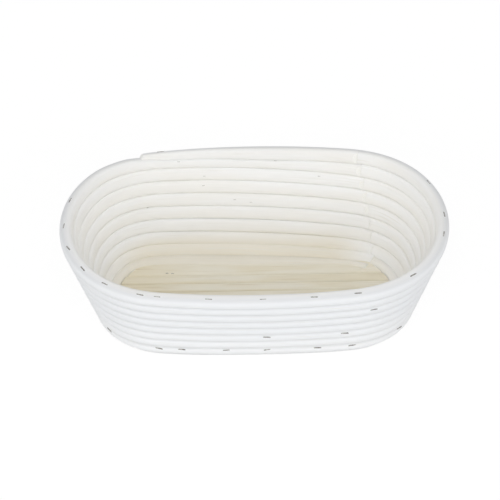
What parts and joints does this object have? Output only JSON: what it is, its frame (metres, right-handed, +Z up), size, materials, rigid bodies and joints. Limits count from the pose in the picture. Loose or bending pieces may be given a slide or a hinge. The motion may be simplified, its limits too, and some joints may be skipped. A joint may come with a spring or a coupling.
{
  "type": "proofing basket",
  "caption": "Oval coiled cane proofing basket with flared wall, tapered coil end on the rim, straight cane floor and wire staples; holds dough while it rises.",
  "frame": {"origin": "on the floor under the middle of the basket's bounding box", "axes": "+X along the length to the end beside the coil's seam, +Y to the back where the coil's tapered end lies, +Z up"},
  "size_m": [0.2496, 0.1526, 0.0741],
  "materials": {
    "wall_cane": "bleached, matt",
    "floor_cane": "natural, matt",
    "staple_wire": "dull galvanised"
  },
  "bodies": {
    "root": {"base_cane_1": "floor_cane", "base_cane_2": "floor_cane", "base_cane_3": "floor_cane", "base_cane_4": "floor_cane", "base_cane_5": "floor_cane", "base_cane_6": "floor_cane", "base_cane_7": "floor_cane", "base_cane_8": "floor_cane", "base_cane_9": "floor_cane", "base_staple_1": "staple_wire", "base_staple_2": "staple_wire", "base_staple_3": "staple_wire", "base_staple_4": "staple_wire", "base_staple_5": "staple_wire", "base_staple_6": "staple_wire", "base_staple_7": "staple_wire", "base_staple_8": "staple_wire", "foot_cane": "wall_cane", "foot_staple_1": "staple_wire", "foot_staple_2": "staple_wire", "foot_staple_3": "staple_wire", "foot_staple_4": "staple_wire", "foot_staple_5": "staple_wire", "foot_staple_6": "staple_wire", "foot_staple_7": "staple_wire", "foot_staple_8": "staple_wire", "left_end_staple_5": "staple_wire", "left_end_staple_6": "staple_wire", "right_end_staple_5": "staple_wire", "right_end_staple_6": "staple_wire", "rim_cane": "wall_cane", "rim_staple_1": "staple_wire", "rim_staple_2": "staple_wire", "rim_staple_3": "staple_wire", "rim_staple_4": "staple_wire", "rim_staple_5": "staple_wire", "rim_staple_6": "staple_wire", "rim_staple_7": "staple_wire", "rim_staple_8": "staple_wire", "rim_staple_9": "staple_wire", "rim_staple_10": "staple_wire", "rim_staple_11": "staple_wire", "rim_staple_12": "staple_wire", "rim_staple_13": "staple_wire", "rim_staple_14": "staple_wire", "rim_staple_15": "staple_wire", "rim_tail": "wall_cane", "tail_staple": "staple_wire", "wall_cane_1": "wall_cane", "wall_cane_2": "wall_cane", "wall_cane_3": "wall_cane", "wall_cane_4": "wall_cane", "wall_cane_5": "wall_cane", "wall_cane_6": "wall_cane", "wall_cane_7": "wall_cane", "wall_staple_1": "staple_wire", "wall_staple_2": "staple_wire", "wall_staple_3": "staple_wire"}
  },
  "joints": []
}
